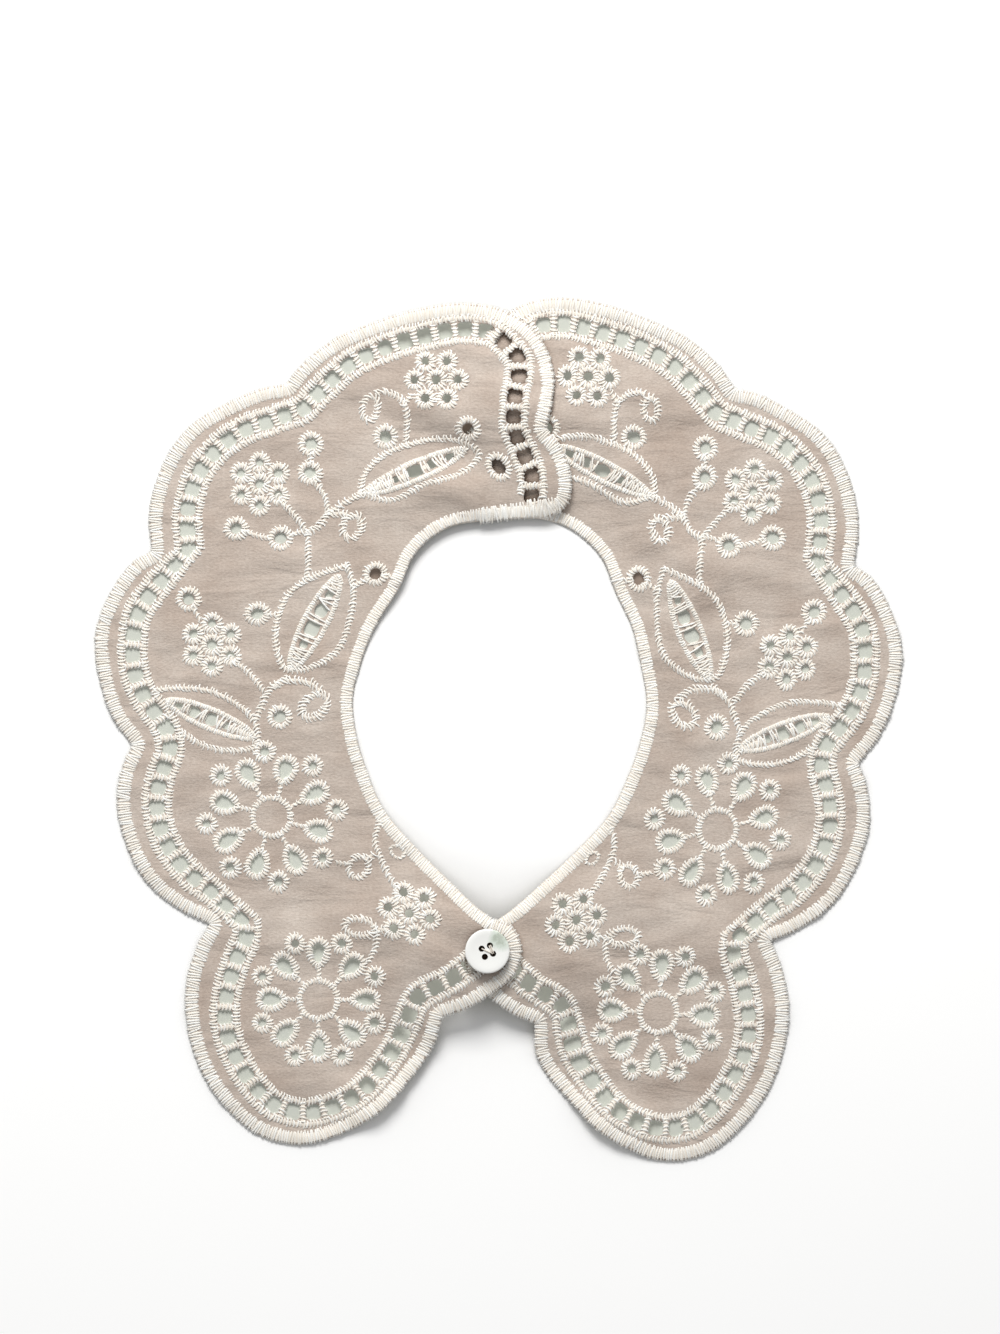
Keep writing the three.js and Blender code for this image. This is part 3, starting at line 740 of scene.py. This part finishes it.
def stitch_tree(thread):
    """Stitches across rows of points: loops of thread, each a little different, over padding."""
    tree = bpy.data.node_groups.new("satin_stitches", "GeometryNodeTree")
    tree.interface.new_socket("Stitches", in_out="OUTPUT", socket_type="NodeSocketGeometry")
    tree.interface.new_socket("Rows", in_out="INPUT", socket_type="NodeSocketGeometry")
    sizes = (
        ("Pitch", 0.8), ("Length", 4.0), ("Height", 0.9), ("Thread", 0.6), ("Padding", 0.8),
        ("Padding height", 0.44), ("Ragged", 0.09), ("Lean", 0.13), ("Slant", 0.0), ("Stray", 0.06),
        ("Tilt", 0.0), ("Seed", 1), ("Loop points", 8),
    )
    for name, value in sizes:
        kind = "NodeSocketInt" if isinstance(value, int) else "NodeSocketFloat"
        tree.interface.new_socket(name, in_out="INPUT", socket_type=kind).default_value = value

    def node(kind, inputs=None, **settings):
        return add_node(tree, kind, inputs, **settings)

    given = node("NodeGroupInput").outputs

    def value_of(operation, *parts):
        return node("ShaderNodeMath", dict(enumerate(parts)), operation=operation)

    def dice(low, high, number):
        seed = value_of("ADD", given["Seed"], number)
        return node("FunctionNodeRandomValue", {2: low, 3: high, "Seed": seed}, data_type="FLOAT").outputs[1]

    # The places along the rows, each strayed a little
    rows = node("GeometryNodeMeshToCurve", {"Mesh": given["Rows"]})
    places = node("GeometryNodeResampleCurve", {"Curve": rows, "Length": given["Pitch"]}, mode="LENGTH")
    tangent = node("GeometryNodeInputTangent")
    back = value_of("MULTIPLY", given["Stray"], -1.0)
    stray = node("ShaderNodeCombineXYZ", {
        "X": dice(back, given["Stray"], 11), "Y": dice(back, given["Stray"], 12)})
    strayed = node("GeometryNodeSetPosition", {"Geometry": places, "Offset": stray})

    # One stitch: a flat loop stood up across the row
    loop = node("GeometryNodeCurvePrimitiveCircle", {
        "Resolution": given["Loop points"], "Radius": 0.5}, mode="RADIUS")
    size = node("ShaderNodeCombineXYZ", {
        "X": value_of("SUBTRACT", given["Height"], given["Thread"]),
        "Y": value_of("SUBTRACT", given["Length"], given["Thread"]), "Z": 1.0})
    upturn = node("ShaderNodeCombineXYZ", {"Y": value_of("SUBTRACT", math.pi / 2, given["Tilt"])})
    stood = node("GeometryNodeTransform", {"Geometry": loop, "Rotation": upturn, "Scale": size})
    marked = node("GeometryNodeStoreNamedAttribute", {
        "Geometry": stood, "Name": "along", "Value": node("GeometryNodeSplineParameter")},
        data_type="FLOAT", domain="POINT")
    section = node("GeometryNodeCurvePrimitiveCircle", {
        "Resolution": 5, "Radius": value_of("MULTIPLY", given["Thread"], 0.5)}, mode="RADIUS")
    stitch = node("GeometryNodeCurveToMesh", {"Curve": marked, "Profile Curve": section})
    soft = node("GeometryNodeSetShadeSmooth", {"Geometry": stitch})

    # A stitch at each place, leaning and ragged
    across = node("FunctionNodeAlignRotationToVector", {"Vector": tangent}, axis="X", pivot_axis="Z")
    lean = value_of("ADD", given["Slant"], dice(value_of("MULTIPLY", given["Lean"], -1.0), given["Lean"], 21))
    turn = node("FunctionNodeEulerToRotation", {"Euler": node("ShaderNodeCombineXYZ", {"Z": lean})})
    turned = node("FunctionNodeRotateRotation", {
        "Rotation": across, "Rotate By": turn}, rotation_space="LOCAL")
    share = node("GeometryNodeInputNamedAttribute", {"Name": "share"}, data_type="FLOAT")
    shorter = value_of("SUBTRACT", 1.0, given["Ragged"])
    longer = value_of("ADD", 1.0, given["Ragged"])
    scale = node("ShaderNodeCombineXYZ", {
        "X": dice(0.88, 1.12, 32), "Y": value_of("MULTIPLY", share, dice(shorter, longer, 31)),
        "Z": dice(0.88, 1.1, 33)})
    stitches = node("GeometryNodeInstanceOnPoints", {
        "Points": strayed, "Instance": soft, "Rotation": turned, "Scale": scale})
    toned = node("GeometryNodeStoreNamedAttribute", {
        "Geometry": stitches, "Name": "tone", "Value": dice(0.1, 1.0, 41)},
        data_type="FLOAT", domain="INSTANCE")

    # The padding under them: an oval roll as wide as the stitches there
    # The padding stores no tone, so the thread's material gives it its darkest colour as painted shade
    # between the stitches.
    widened = node("GeometryNodeSetCurveRadius", {"Curve": places, "Radius": share})
    upright = node("GeometryNodeSetCurveNormal", {"Curve": widened}, mode="Z_UP")
    oval = node("GeometryNodeCurvePrimitiveCircle", {"Resolution": 8, "Radius": 0.5}, mode="RADIUS")
    oval_size = node("ShaderNodeCombineXYZ", {
        "X": value_of("MULTIPLY", given["Length"], given["Padding"]), "Y": given["Padding height"], "Z": 1.0})
    flattened = node("GeometryNodeTransform", {"Geometry": oval, "Scale": oval_size})
    padding = node("GeometryNodeCurveToMesh", {
        "Curve": upright, "Profile Curve": flattened, "Fill Caps": True})
    soft_padding = node("GeometryNodeSetShadeSmooth", {"Geometry": padding})

    real = node("GeometryNodeRealizeInstances", {"Geometry": toned})
    joined = node("GeometryNodeJoinGeometry", {"Geometry": real})
    tree.links.new(soft_padding.outputs[0], joined.inputs[0])
    sewn = node("GeometryNodeSetMaterial", {"Geometry": joined, "Material": thread})
    node("NodeGroupOutput", {"Stitches": sewn})
    return tree


def rows_mesh(half, rows):
    """Rows of points as edges, each point with the share of the stitch's length that is used there."""
    points, edges, shares = [], [], []
    for line, closed, share in rows:
        start = len(points)
        laid = half.lay_points(line)
        count = len(laid)
        points += [(x, y, 0) for x, y in laid]
        shares += list(np.broadcast_to(share, count))
        edges += [(start + i, start + i + 1) for i in range(count - 1)]
        if closed:
            edges.append((start + count - 1, start))
    mesh = bpy.data.meshes.new("rows")
    mesh.from_pydata(points, edges, [])
    mesh.attributes.new("share", "FLOAT", "POINT").data.foreach_set("value", shares)
    return mesh


def lay(mesh, is_left, shift):
    """Lifts a flat mesh on to the table's bumps and folds, in metres."""
    points = np.empty(len(mesh.vertices) * 3)
    mesh.vertices.foreach_get("co", points)
    points = points.reshape(-1, 3)
    points[:, 2] += CLOTH_LEVEL + cloth_height(points[:, 0], points[:, 1], is_left)
    points[:, :2] += shift
    mesh.vertices.foreach_set("co", (points * MM).ravel())
    mesh.update()


def show(name, mesh):
    piece = bpy.data.objects.new(name, mesh)
    bpy.context.scene.collection.objects.link(piece)
    return piece


def plain_mesh(source, *helpers):
    """The source's evaluated mesh. The source and the objects that helped to shape it are removed."""
    graph = bpy.context.evaluated_depsgraph_get()
    mesh = bpy.data.meshes.new_from_object(source.evaluated_get(graph))
    for spare in (source, *helpers):
        bpy.data.objects.remove(spare)
    return mesh


def make_smooth(mesh):
    mesh.polygons.foreach_set("use_smooth", [True] * len(mesh.polygons))


def sew(name, half, family, tree, sizes, shift):
    """A family of rows sewn as one piece."""
    source = show(name + "_rows", rows_mesh(half, half.rows[family]))
    modifier = source.modifiers.new("stitches", "NODES")
    modifier.node_group = tree
    for socket in tree.interface.items_tree:
        if socket.in_out == "INPUT" and socket.name in sizes:
            modifier[socket.identifier] = sizes[socket.name]
    mesh = plain_mesh(source)
    lay(mesh, half.is_left, shift)
    mesh.name = name
    return show(name, mesh)


def left_round(loop):
    """The loop's points in the order that keeps its inside on the left."""
    x, y = loop[:, 0], loop[:, 1]
    double_area = (x * np.roll(y, -1) - y * np.roll(x, -1)).sum()
    return loop if double_area > 0 else loop[::-1]


def flat_mesh(name, loops, cell):
    """One flat layer inside the first loop, cut out at the others, in triangles of about the cell's size."""
    loops = [left_round(loop) for loop in loops]
    points, edges, faces = [], [], []
    for loop in loops:
        start = len(points)
        count = len(loop)
        points += [Vector(p) for p in loop]
        edges += [(start + i, start + (i + 1) % count) for i in range(count)]
        faces.append(list(range(start, start + count)))
    low, high = loops[0].min(0), loops[0].max(0)
    for row, y in enumerate(np.arange(low[1], high[1], cell * math.sqrt(3) / 2)):
        for x in np.arange(low[0] + cell / 2 * (row % 2), high[0], cell):
            points.append(Vector((x, y)))
    found, _, triangles, _, _, origins = delaunay_2d_cdt(points, edges, faces, 1, 1e-4)
    kept = [tri for tri, origin in zip(triangles, origins) if 0 in origin and len(origin) == 1]
    used = sorted({i for tri in kept for i in tri})
    number = {old: new for new, old in enumerate(used)}
    mesh = bpy.data.meshes.new(name)
    corners = [(found[i].x, found[i].y, 0) for i in used]
    mesh.from_pydata(corners, [], [[number[i] for i in tri] for tri in kept])
    return mesh


def add_pattern_uv(mesh, half):
    """The weave's own coordinates, in millimetres along and across the grain."""
    grain = math.radians(0 if half.is_left else RIGHT_GRAIN)
    cos, sin = math.cos(grain), math.sin(grain)
    uv = mesh.uv_layers.new(name="pattern")
    for loop, place in zip(mesh.loops, uv.uv):
        x, y, _ = mesh.vertices[loop.vertex_index].co
        place.vector = (x * cos + y * sin, y * cos - x * sin)


def make_cloth(name, half, material, shift):
    edge, _ = inset_line(half.outline.points, np.full(len(half.outline.points), EDGE_TURN_IN), True)
    mesh = flat_mesh(name, [half.lay_points(loop) for loop in (edge, *half.holes)], CLOTH_CELL)
    add_pattern_uv(mesh, half)
    mesh.materials.append(material)
    lay(mesh, half.is_left, shift)
    make_smooth(mesh)
    piece = show(name, mesh)
    shell = piece.modifiers.new("thickness", "SOLIDIFY")
    shell.thickness = CLOTH_THICK * MM
    shell.offset = 0
    return piece


def turned_mesh(name, profile, count):
    """A closed solid turned round Z from a profile of (radius, height) that starts and ends on the axis."""
    points = [(0, 0, profile[0][1])]
    for radius, height in profile[1:-1]:
        for k in range(count):
            turn = 2 * math.pi * k / count
            points.append((radius * math.cos(turn), radius * math.sin(turn), height))
    points.append((0, 0, profile[-1][1]))
    rings = len(profile) - 2
    faces = []
    for k in range(count):
        after = (k + 1) % count
        faces.append((0, 1 + after, 1 + k))
        for ring in range(rings - 1):
            base = 1 + ring * count
            faces.append((base + k, base + after, base + count + after, base + count + k))
        base = 1 + (rings - 1) * count
        faces.append((base + k, base + after, len(points) - 1))
    mesh = bpy.data.meshes.new(name)
    mesh.from_pydata(points, [], faces)
    return mesh


def hole_place(k):
    turn = math.radians(BUTTON_TURN + 90 * k)
    return BUTTON_HOLE_REACH * math.cos(turn), BUTTON_HOLE_REACH * math.sin(turn)


def seat_on_cloth(mesh, material, middle, seat):
    """Moves a mesh to the button's place, in metres, and gives it its material."""
    for vertex in mesh.vertices:
        vertex.co = (vertex.co + Vector((*middle, seat))) * MM
    mesh.materials.clear()
    mesh.materials.append(material)
    make_smooth(mesh)


def make_button(material, middle, seat):
    """A turned shell disc with a rounded rim round a shallow dish, drilled for four holes."""
    radius, top = BUTTON_DIAMETER / 2, BUTTON_THICK
    profile = [
        (0, 0), (radius - 1.0, 0), (radius - 0.3, 0.25), (radius, 0.9), (radius, 1.6), (radius - 0.07, 1.82),
        (radius - 0.22, 1.95), (radius - 0.5, top), (radius - 1.5, top - 0.04), (radius - 2.5, top - 0.2),
        (0, top - BUTTON_DISH)]
    disc = show("shell_button", turned_mesh("shell_button", profile, BUTTON_SIDES))
    drills = []
    for k in range(4):
        x, y = hole_place(k)
        bore = [(0, -1), (BUTTON_HOLE / 2, -1), (BUTTON_HOLE / 2, 3), (0, 3)]
        mesh = turned_mesh("drill", bore, DRILL_SIDES)
        for vertex in mesh.vertices:
            vertex.co += Vector((x, y, 0))
        drills.append(show("drill", mesh))
        cut = disc.modifiers.new("drill", "BOOLEAN")
        cut.operation = "DIFFERENCE"
        cut.object = drills[-1]
    mesh = plain_mesh(disc, *drills)
    seat_on_cloth(mesh, material, middle, seat)
    mesh.set_sharp_from_angle(angle=math.radians(40))
    return show("shell_button", mesh)


def make_button_thread(material, middle, seat):
    """Strands through the button's holes, down into the cloth."""
    curve = bpy.data.curves.new("strands", "CURVE")
    curve.dimensions = "3D"
    curve.bevel_depth = STRAND_RADIUS
    curve.bevel_resolution = 2
    curve.use_fill_caps = True
    top = BUTTON_THICK - BUTTON_DISH
    for near, far, offset in STRANDS:
        (x1, y1), (x2, y2) = hole_place(near), hole_place(far)
        side = np.array([y1 - y2, x2 - x1]) / math.hypot(x2 - x1, y2 - y1) * offset
        start, end = np.array([x1, y1]) + side, np.array([x2, y2]) + side
        steps = (
            (0, STRAND_FLOOR), (0, top - 0.4), (0.08, top + 0.2), (0.5, top + 0.26), (0.92, top + 0.2),
            (1, top - 0.4), (1, STRAND_FLOOR))
        line = curve.splines.new("NURBS")
        line.points.add(len(steps) - 1)
        for place, (share, height) in zip(line.points, steps):
            place.co = (*(start * (1 - share) + end * share), height, 1)
        line.use_endpoint_u = True
        line.order_u = 3
    mesh = plain_mesh(show("strands", curve))
    mesh.name = "button_thread"
    seat_on_cloth(mesh, material, middle, seat)
    return show("button_thread", mesh)


def paper_material():
    """White paper, matt, with painted shade close under raised cloth and a painted glow that over-exposes it
    to pure white in the open.
    """
    material, tree = new_material("white_paper")
    open_sky = add_node(tree, "ShaderNodeAmbientOcclusion", {"Distance": 0.03}, samples=16).outputs["AO"]
    # Painted glow: the paper shines where nothing is near it.
    over = add_node(tree, "ShaderNodeMapRange", {
        "Value": open_sky, "From Min": 0.8, "From Max": 1.0, "To Min": 0.0, "To Max": 0.13})
    # Painted shade: darker grey where raised cloth is close over it.
    tone = ramp(tree, open_sky, (0.25, "B0B0AE"), (0.72, "FEFEFE"))
    finish_material(tree, {
        **MATT, "Base Color": tone, "Emission Color": colour("FFFFFF"), "Emission Strength": over})
    return material


def card_material():
    """Grey green card seen through the collar's holes, with a painted glow under close cloth for the faint
    light that thin cloth lets through.
    """
    material, tree = new_material("grey_green_card")
    near = add_node(tree, "ShaderNodeAmbientOcclusion", {"Distance": 0.02}, samples=16).outputs["AO"]
    # Painted glow: the more closely cloth covers the card, the more it shines.
    through = ramp(tree, near, (0.03, 0.14), (0.14, 0.3), (0.7, 0))
    finish_material(tree, {
        **MATT, "Base Color": colour("D3D6CD"), "Emission Color": colour("D3D6CD"),
        "Emission Strength": through})
    return material


def painted_shade_cloth_material():
    """Cloth behind a few eyelets, matt, made dark brown as painted shade and given a faint painted glow."""
    material, tree = new_material("cloth_in_painted_shade")
    # Painted shade and a painted glow: a darkened cloth colour that also faintly shines.
    finish_material(tree, {
        **MATT, "Base Color": colour("8A7B70"), "Emission Color": colour("8A7B70"),
        "Emission Strength": 0.25})
    return material


def make_floor():
    half = FLOOR_HALF
    corners = [(-half, -half, 0), (half, -half, 0), (half, half, 0), (-half, half, 0)]
    mesh = bpy.data.meshes.new("floor")
    mesh.from_pydata(corners, [], [(0, 1, 2, 3)])
    mesh.materials.append(paper_material())
    show("floor", mesh)


def lay_under(name, loop, height, material, shift):
    """A flat sheet on the table under the collar, inside the loop."""
    mesh = flat_mesh(name, [loop], CARD_IN)
    for vertex in mesh.vertices:
        vertex.co = Vector((vertex.co.x + shift[0], vertex.co.y + shift[1], height)) * MM
    mesh.materials.append(material)
    show(name, mesh)


def make_card(name, half, card, brown, shift):
    """A card under one half, a little smaller all round, and the cloth in painted shade behind some of its
    eyelets.
    """
    edge, _ = inset_line(half.outline.points, np.full(len(half.outline.points), CARD_IN), True)
    lay_under(name, half.lay_points(edge), CARD_UP, card, shift)
    for k, place in enumerate(DARK_EYELETS if half.is_left else DARK_EYELETS[:1]):
        spot = place_shape(rounded_shape(DARK_REACH, DARK_REACH, 2.0), place, 0)
        lay_under(f"{name}_dark_{k}", half.lay_points(spot), 2 * CARD_UP, brown, shift)


def make_light():
    """Soft daylight from all round, and a broad window from the back and a little from the left."""
    world = bpy.data.worlds.new("studio")
    world.use_nodes = True
    background = world.node_tree.nodes["Background"]
    background.inputs["Color"].default_value = (0.98, 0.99, 1.0, 1)
    background.inputs["Strength"].default_value = SKY_STRENGTH
    bpy.context.scene.world = world
    light = bpy.data.lights.new("window", "AREA")
    light.shape = "RECTANGLE"
    light.size = WINDOW_SIDE
    light.size_y = WINDOW_SIDE
    light.energy = WINDOW_POWER
    light.color = (1.0, 0.99, 0.97)
    lamp = bpy.data.objects.new("window", light)
    lamp.location = WINDOW_PLACE
    lamp.rotation_euler = (-lamp.location).to_track_quat("-Z", "Y").to_euler()
    bpy.context.scene.collection.objects.link(lamp)
    bpy.context.scene.view_settings.view_transform = "Standard"


def make_camera(shift):
    """Straight above the middle of the photograph's frame."""
    camera = bpy.data.cameras.new("camera")
    camera.sensor_fit = "VERTICAL"
    camera.sensor_height = SENSOR_TALL
    camera.lens = SENSOR_TALL * EYE_HEIGHT / (PHOTO_TALL * PIXEL * MM)
    camera.clip_start = 0.05
    eye = bpy.data.objects.new("camera", camera)
    x = (PHOTO_WIDE / 2 - ORIGIN_PX_X) * PIXEL + shift[0]
    y = (ORIGIN_PX_Y - PHOTO_TALL / 2) * PIXEL + shift[1]
    eye.location = (x * MM, y * MM, EYE_HEIGHT)
    bpy.context.scene.collection.objects.link(eye)
    bpy.context.scene.camera = eye


def main():
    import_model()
    low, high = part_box("button")
    button_middle = (low + high) / 2 / MM
    seat = low.z / MM
    shift = np.array([button_middle.x - BUTTON_X, button_middle.y - BUTTON_Y])
    make_camera(shift)

    cotton, thread, card, brown = cotton_material(), thread_material(), card_material(), painted_shade_cloth_material()
    shell = shell_material((button_middle.x, button_middle.y, seat + BUTTON_THICK))
    halves = []
    tree = stitch_tree(thread)
    for side, is_left, seed in (("left", True, 100), ("right", False, 200)):
        half = Half(is_left, seed)
        halves.append(half)
        if is_left:
            cover, _ = inset_line(half.outline.points, half.outline.edge, True)
        else:
            half.leave_plain(cover)
        cloth = make_cloth(side + "_cloth", half, cotton, shift)
        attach(cloth, "root")
        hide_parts(side + "_panel")
        for k, (family, stitch) in enumerate(FAMILIES.items()):
            piece = sew(f"{side}_{family}", half, family, tree, {**stitch, "Seed": seed + 50 + k}, shift)
            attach(piece, "root")

    button = make_button(shell, (button_middle.x, button_middle.y), seat)
    strands = make_button_thread(thread, (button_middle.x, button_middle.y), seat)
    for piece, slot in ((button, "shell"), (strands, "thread")):
        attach(piece, "root")
    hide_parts("button")

    make_floor()
    for half in halves:
        make_card("left_card" if half.is_left else "right_card", half, card, brown, shift)
    make_light()


main()
